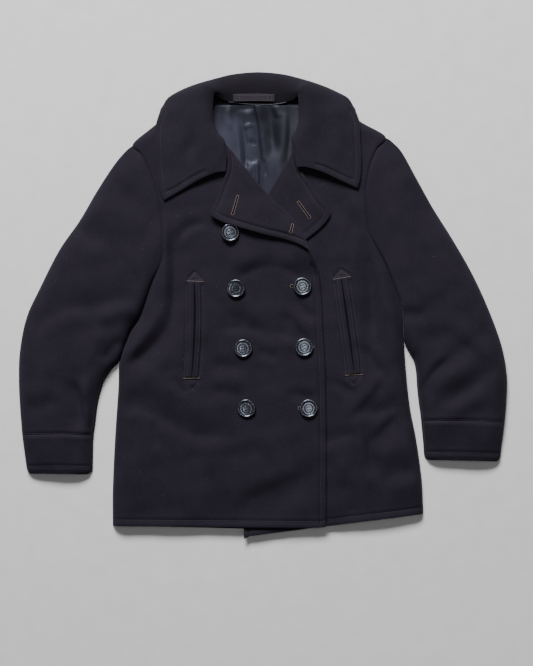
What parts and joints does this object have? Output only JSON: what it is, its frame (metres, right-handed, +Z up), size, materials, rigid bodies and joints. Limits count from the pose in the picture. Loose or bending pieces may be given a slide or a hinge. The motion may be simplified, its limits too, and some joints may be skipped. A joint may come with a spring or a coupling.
{
  "type": "double-breasted pea coat laid flat",
  "caption": "Short double-breasted wool overcoat with a wide open collar, laid flat face up with its sleeves at its sides.",
  "frame": {"origin": "middle of the coat's box, on the surface it lies on", "axes": "+X to the right as the coat is seen from above, +Y towards the collar, +Z up from the surface"},
  "size_m": [0.8838, 0.843, 0.0318],
  "materials": {
    "wool": "matte",
    "wool_collar": "matte",
    "satin": "satin",
    "button_plastic": "gloss"
  },
  "bodies": {
    "root": {"back_right": "wool", "back_left": "wool", "right_front": "wool", "left_front": "wool", "right_sleeve_top": "wool", "right_sleeve_under": "wool", "left_sleeve_top": "wool", "left_sleeve_under": "wool", "right_pocket_front_lip": "wool", "right_pocket_side_lip": "wool", "left_pocket_front_lip": "wool", "left_pocket_side_lip": "wool", "collar": "wool_collar", "hanger_loop": "wool_collar", "lining": "satin", "button_1": "button_plastic", "button_2": "button_plastic", "button_3": "button_plastic", "button_4": "button_plastic", "button_5": "button_plastic", "button_6": "button_plastic", "button_7": "button_plastic"}
  },
  "joints": []
}
